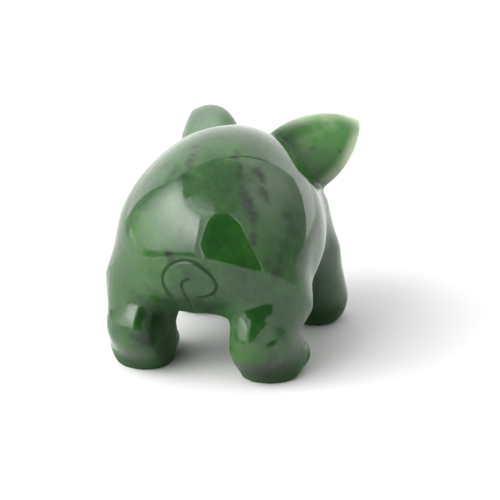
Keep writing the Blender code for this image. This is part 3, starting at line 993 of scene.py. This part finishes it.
def build_polish(finish):
    blanks = {"Geometry": None, **FORM, **THIN, **CUT, **{title: "" for title in GUIDES}, **FINISH}
    tree, size = new_tree("polish", blanks, ["Geometry"])

    def unevenness(point, kind):
        both_ways, scale = {"normalize": False}, size[kind + " wave"]
        wave = node(tree, "ShaderNodeTexNoise", both_ways, Vector=point, Scale=scale, Detail=1.0)
        return wave * size[kind + " depth"]

    def surface(point):
        form = use_tree(tree, form_group, {**size, "Point": point})
        form = form + unevenness(point, "Hand") + unevenness(point, "Ripple")
        return form + use_tree(tree, engraving_group, {**size, "Point": point})

    start = tree.nodes.new("GeometryNodeRepeatInput")
    end = tree.nodes.new("GeometryNodeRepeatOutput")
    start.pair_with_output(end)
    plug(tree, start.inputs["Iterations"], size["Polishing passes"])
    plug(tree, start.inputs["Geometry"], size["Geometry"])
    normal = node(tree, "GeometryNodeInputNormal", {})
    point = node(tree, "GeometryNodeInputPosition", {}) * (1 / MM) - (0.0, FORWARD, 0.0)
    here = surface(point)
    steep = (surface(point + normal * PROBE) - here) / PROBE
    step = -here / steep.maths("MAXIMUM", LEAST_SLOPE)
    step = step.maths("MINIMUM", LONGEST_STEP).maths("MAXIMUM", -LONGEST_STEP)
    before = Wire(tree, start.outputs["Geometry"])
    moved = node(tree, "GeometryNodeSetPosition", {}, before, Offset=normal * (step * MM))
    plug(tree, end.inputs["Geometry"], moved)
    x, y, z = axes_of(node(tree, "GeometryNodeInputPosition", {}))
    level = together(tree, x, y, z.maths("MAXIMUM", 0.0))
    ground = node(tree, "GeometryNodeSetPosition", {}, Wire(tree, end.outputs["Geometry"]), Position=level)
    cut = use_tree(tree, engraving_group, {**size, "Point": point}) / size["Line depth"]
    edge = use_tree(tree, edge_group, {**size, "Point": point})
    marked = ground
    for name, value in (("groove", cut.maths("POWER", GROOVE_POWER)), ("thin_edge", edge)):
        marked = node(tree, "GeometryNodeStoreNamedAttribute", {}, marked, Name=name, Value=value)
    smooth = node(tree, "GeometryNodeSetShadeSmooth", {}, marked)
    realized = node(tree, "GeometryNodeRealizeInstances", {}, smooth)
    return finish_tree(tree, node(tree, "GeometryNodeSetMaterial", {}, realized, Material=finish))


polish_inputs = {**FORM, **THIN, **CUT, **GUIDES, **FINISH}
polished = evaluated_mesh("polished_pig", build_polish(jade_finish), polish_inputs, rough)
for line in GUIDES.values():
    bpy.data.objects.remove(line)
pig = bpy.data.objects.new("carved_pig", polished)
bpy.context.scene.collection.objects.link(pig)
print("polished:", len(polished.polygons), "triangles, finish", polished.materials[0].name)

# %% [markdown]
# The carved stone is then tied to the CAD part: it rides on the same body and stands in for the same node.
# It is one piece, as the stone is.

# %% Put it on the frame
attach(pig, "root")
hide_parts("jade_pig")
print(pig.name, "stands in for jade_pig")

# %% [markdown]
# ## The camera
#
# A small thing is photographed from close by with a long lens. The camera stands 35 cm off, behind the pig
# and to its right, and looks down on it by 18 degrees.

# %% Camera
TURN, TILT = math.radians(17.265), math.radians(18.267)
AIM = Vector((-2.58, 1.23, 14.30)) * MM
# Metres from the camera to the aim, and the nearest and farthest things it shows.
AWAY, NEAREST, FARTHEST = 0.350, 0.01, 20.0
LENS_MM, FILM_MM = 168.0, 36.0
back = Vector((-math.sin(TURN) * math.cos(TILT), math.cos(TURN) * math.cos(TILT), math.sin(TILT)))
lens = bpy.data.cameras.new("camera")
lens.lens, lens.sensor_width = LENS_MM, FILM_MM
lens.clip_start, lens.clip_end = NEAREST, FARTHEST
camera = bpy.data.objects.new("camera", lens)
camera.location = AIM + back * AWAY
camera.rotation_mode = "QUATERNION"
camera.rotation_quaternion = (-back).to_track_quat("-Z", "Y")
bpy.context.scene.collection.objects.link(camera)
bpy.context.scene.camera = camera
print("camera at", [round(v * 1000) for v in camera.location], "mm")

# %% [markdown]
# ## A light tent
#
# Polished stone shows the room it stands in, so the light has to be a place and not only lamps. The
# reflections tell what it was: a white tent with a lit panel on the left, a dimmer roof that is brighter in
# its corner over the panel, and an open front through which the room is dark. A dark hoop holds the tent up
# behind the pig, and a narrow grey skirting runs under the panel. Each is a plain sheet, given in metres as
# (to the right, towards the camera, up). The camera doesn't see the sheets; only the stone does.

# %% Paths of the sheets
ROOF_UP = 0.70
FRONT, BACK = 0.567, -0.28
PANEL = (
    (-0.41, -0.22), (-0.43, -0.14), (-0.46, 0.0), (-0.46, 0.15), (-0.42, 0.28), (-0.31, 0.46), (-0.23, FRONT),
)
PANEL_END, PANEL_END_HIGH = ((-0.41, -0.22), (-0.375, -0.25), (-0.345, -0.275)), (0.45, 0.20, 0.10)
FRONT_LEFT = ((-0.23, FRONT), (-0.07, FRONT))
RIGHT_WALL = (
    (0.44, FRONT), (0.39, 0.35), (0.35, 0.16), (0.32, 0.01), (0.31, -0.08), (0.30, -0.13), (0.285, -0.21),
    (0.27, BACK),
)
WALL_LOW = (0.0, 0.0, 0.0, 0.0, 0.0, 0.035, 0.10, 0.15)
WALL_HIGH = (ROOF_UP,) * 6 + (0.52, 0.34)
ROOF_LEFT = (
    (-0.43, BACK), (-0.46, 0.0), (-0.46, 0.15), (-0.42, 0.28), (-0.31, 0.46), (-0.12, 0.57), (0.03, 0.52),
)
ROOF_RIGHT = (
    (0.27, BACK), (0.30, -0.13), (0.32, 0.01), (0.35, 0.16), (0.39, 0.35), (0.44, 0.52), (0.25, 0.50),
)
# Strips run between these edges, from the panel inwards, and each glows less than the one before.
ROOF_CORNER = (
    ((-0.46, 0.15), (-0.42, 0.28), (-0.31, 0.46), (-0.12, 0.57), (0.03, 0.57)),
    ((-0.37, 0.15), (-0.32, 0.25), (-0.22, 0.38), (-0.08, 0.47), (0.03, 0.50)),
    ((-0.28, 0.15), (-0.23, 0.21), (-0.14, 0.30), (-0.04, 0.39), (0.03, 0.44)),
    ((-0.19, 0.15), (-0.15, 0.18), (-0.07, 0.24), (0.00, 0.31), (0.03, 0.38)),
)
CORNER_GLOWS, CORNER_DROP = (3.4, 2.3, 1.4), 0.01
# The opening and the hoop stand upright, so they are given as (to the right, up).
OPENING_LEFT = ((-0.11, 0.0), (-0.155, 0.16), (-0.12, 0.33), (-0.07, 0.53), (0.03, 0.77))
OPENING_RIGHT = ((0.37, 0.0), (0.43, 0.16), (0.44, 0.33), (0.42, 0.53), (0.28, 0.79))
# The hems' width, the skirting's height, and how far apart sheets hang that would else touch.
HEM, SKIRTING_UP, LAYER = 0.025, 0.042, 0.004
# The backdrop is a folded screen, one metre off, that starts at the right.
BACKDROP_AWAY, FIRST_FOLD, FOLD, FOLDS = 1.0, 102, 12, 14
HOOP = (
    (-0.30, 0.0), (-0.33, 0.03), (-0.34, 0.11), (-0.38, 0.19), (-0.45, 0.32), (-0.54, 0.55), (-0.50, 0.70),
    (-0.35, 0.72), (-0.21, 0.74), (-0.09, 0.70), (0.04, 0.65), (0.15, 0.53), (0.22, 0.43), (0.26, 0.34),
    (0.29, 0.28), (0.30, 0.22), (0.32, 0.17), (0.35, 0.14), (0.45, 0.13),
)
HOOP_EDGES = (0.96, 1.04)
print("the tent is", round(FRONT - BACK, 2), "m deep and", ROOF_UP, "m high")

# %% [markdown]
# A sheet is a strip of faces between two rows of points. It is turned about the pig by the camera's turn, so
# that right and forward mean the same as in the photo.

# %% Hanging a sheet
def sheet(name, rows, material):
    """A sheet between two rows of points, turned to face the camera's way."""
    count = len(rows[0])
    corners = [(-right, forward, up) for row in rows for right, forward, up in row]
    faces = [(i, i + 1, count + i + 1, count + i) for i in range(count - 1)]
    mesh = bpy.data.meshes.new(name)
    mesh.from_pydata(corners, [], faces)
    mesh.materials.append(material)
    made = bpy.data.objects.new(name, mesh)
    made.rotation_euler = (0.0, 0.0, TURN)
    made.visible_camera = False
    bpy.context.scene.collection.objects.link(made)
    return made


def upright(name, path, low, high, material):
    """A sheet standing on a path, between two heights or two rows of heights."""
    rows = [heights if isinstance(heights, tuple) else (heights,) * len(path) for heights in (low, high)]
    return sheet(name, [[(*point, up) for point, up in zip(path, row)] for row in rows], material)


def facing(name, forward, edges, material):
    """A sheet square to the camera, between two edges given as (to the right, up)."""
    return sheet(name, [[(right, forward, up) for right, up in edge] for edge in edges], material)


def beside(edge, by):
    return [(right + by, up) for right, up in edge]


print("sheets can be hung")

# %% [markdown]
# The cloth glows evenly enough to be a plain emission, but it is dimmer low down and at its ends. That is a
# colour ramp over the height and another over how far forward the cloth is.

# %% Cloth and light
FAR_BACK, DEPTH = -1.0, 1.6
EVEN = ((0.0, 1.0), (1.0, 1.0))


def dull(name, grey):
    """Cloth, tape or board with no shine, in a grey from 0 to 1."""
    material = bpy.data.materials.new(name)
    material.use_nodes = True
    shader = material.node_tree.nodes["Principled BSDF"]
    shader.inputs["Base Color"].default_value = (grey, grey, grey, 1.0)
    shader.inputs["Roughness"].default_value = 0.9
    shader.inputs["Specular IOR Level"].default_value = 0.0
    return material


def lit(name, brightest, by_height, by_forward=EVEN):
    """Lit cloth. Its brightness changes with height and with how far forward it is."""
    material = dull(name, 0.0)
    tree = material.node_tree
    shader = tree.nodes["Principled BSDF"]
    shader.inputs["Emission Strength"].default_value = brightest
    _, forward, up = axes_of(node(tree, "ShaderNodeTexCoord", {}, out=3))
    levels = []
    for place, table in ((up / ROOF_UP, by_height), ((forward - FAR_BACK) / DEPTH, by_forward)):
        stops = [(where, (level, level, level, 1.0)) for where, level in table]
        levels.append(node(tree, "ShaderNodeValToRGB", {"stops": stops}, place))
    plug(tree, shader.inputs["Emission Color"], levels[0] * levels[1])
    return material


panel_light = lit(
    "lit_panel", 8.0,
    ((0.0, 0.20), (0.10, 0.34), (0.26, 0.60), (0.40, 0.85), (0.58, 1.0), (0.80, 0.92), (1.0, 0.45)),
    ((0.485, 0.16), (0.55, 0.52), (0.60, 0.80), (0.66, 1.0)),
)
wall_light = lit("tent_wall", 1.25, ((0.0, 0.42), (0.2, 0.5), (0.45, 0.75), (0.75, 0.95), (1.0, 0.8)))
roof_light = lit("tent_roof", 0.75, EVEN)
hem_light = lit("tent_hem", 3.0, EVEN)
front_light = lit("tent_front", 2.4, ((0.0, 0.5), (1.0, 1.0)))
backdrop_light = lit("backdrop", 2.1, EVEN, ((0.0, 0.74), (0.10, 0.80), (0.18, 1.0), (0.5, 1.0)))
black_cloth = dull("black_cloth", 0.002)
grey_cloth = dull("grey_cloth", 0.4)
grey_tape = dull("grey_tape", 0.15)
print("cloths:", ", ".join(cloth.name for cloth in bpy.data.materials if cloth is not jade_finish))

# %% [markdown]
# Now the tent is put up: the sides, then the front with its bright hems, then the roof, and last the hoop and
# the backdrop behind the pig.

# %% Put up the tent
upright("lit_panel", PANEL, SKIRTING_UP, ROOF_UP, panel_light)
upright("panel_end", PANEL_END, 0.0, PANEL_END_HIGH, roof_light)
upright("skirting", PANEL[2:], 0.0, SKIRTING_UP, grey_cloth)
upright("right_wall", RIGHT_WALL, WALL_LOW, WALL_HIGH, wall_light)
upright("front_left", FRONT_LEFT, 0.0, ROOF_UP, front_light)
facing("front_opening", FRONT - LAYER, (OPENING_LEFT, OPENING_RIGHT), black_cloth)
facing("left_hem", FRONT - 2 * LAYER, (beside(OPENING_LEFT, -HEM), OPENING_LEFT), hem_light)
facing("right_hem", FRONT - 2 * LAYER, (OPENING_RIGHT, beside(OPENING_RIGHT, HEM)), hem_light)
sheet("roof", [[(*point, ROOF_UP) for point in edge] for edge in (ROOF_LEFT, ROOF_RIGHT)], roof_light)
for number, glow in enumerate(CORNER_GLOWS):
    name = f"roof_corner_{number}"
    strip = [[(*point, ROOF_UP - CORNER_DROP) for point in edge] for edge in ROOF_CORNER[number:number + 2]]
    sheet(name, strip, lit(name, glow, EVEN))
hoop_edges = [[(right * grow, up * grow) for right, up in HOOP] for grow in HOOP_EDGES]
facing("hoop", BACK, hoop_edges, grey_tape)
turns = [math.radians(FIRST_FOLD + FOLD * number) for number in range(FOLDS)]
folds = [(BACKDROP_AWAY * math.sin(turn), BACKDROP_AWAY * math.cos(turn)) for turn in turns]
upright("backdrop", folds, 0.0, ROOF_UP, backdrop_light)
print("the tent is up")

# %% [markdown]
# ## The table and the room
#
# The table is plain white board. Beyond the tent everything is white and evenly lit, so the world is too, and
# in the picture the far edge of the table can't be told from it.

# %% Table and room
HALF_TABLE, WHITE_BOARD, ROOM_BRIGHTNESS = 1.5, 0.72, 1.6
corners = [(x * HALF_TABLE, y * HALF_TABLE, 0.0) for x, y in ((-1, -1), (1, -1), (1, 1), (-1, 1))]
table_mesh = bpy.data.meshes.new("table")
table_mesh.from_pydata(corners, [], [(0, 1, 2, 3)])
table_mesh.materials.append(dull("white_board", WHITE_BOARD))
table = bpy.data.objects.new("table", table_mesh)
bpy.context.scene.collection.objects.link(table)

world = bpy.data.worlds.new("studio")
world.use_nodes = True
air = world.node_tree.nodes["Background"]
air.inputs["Color"].default_value = (1.0, 1.0, 1.0, 1.0)
air.inputs["Strength"].default_value = ROOM_BRIGHTNESS
bpy.context.scene.world = world
bpy.context.scene.view_settings.view_transform = "Standard"
print("room brightness", ROOM_BRIGHTNESS)
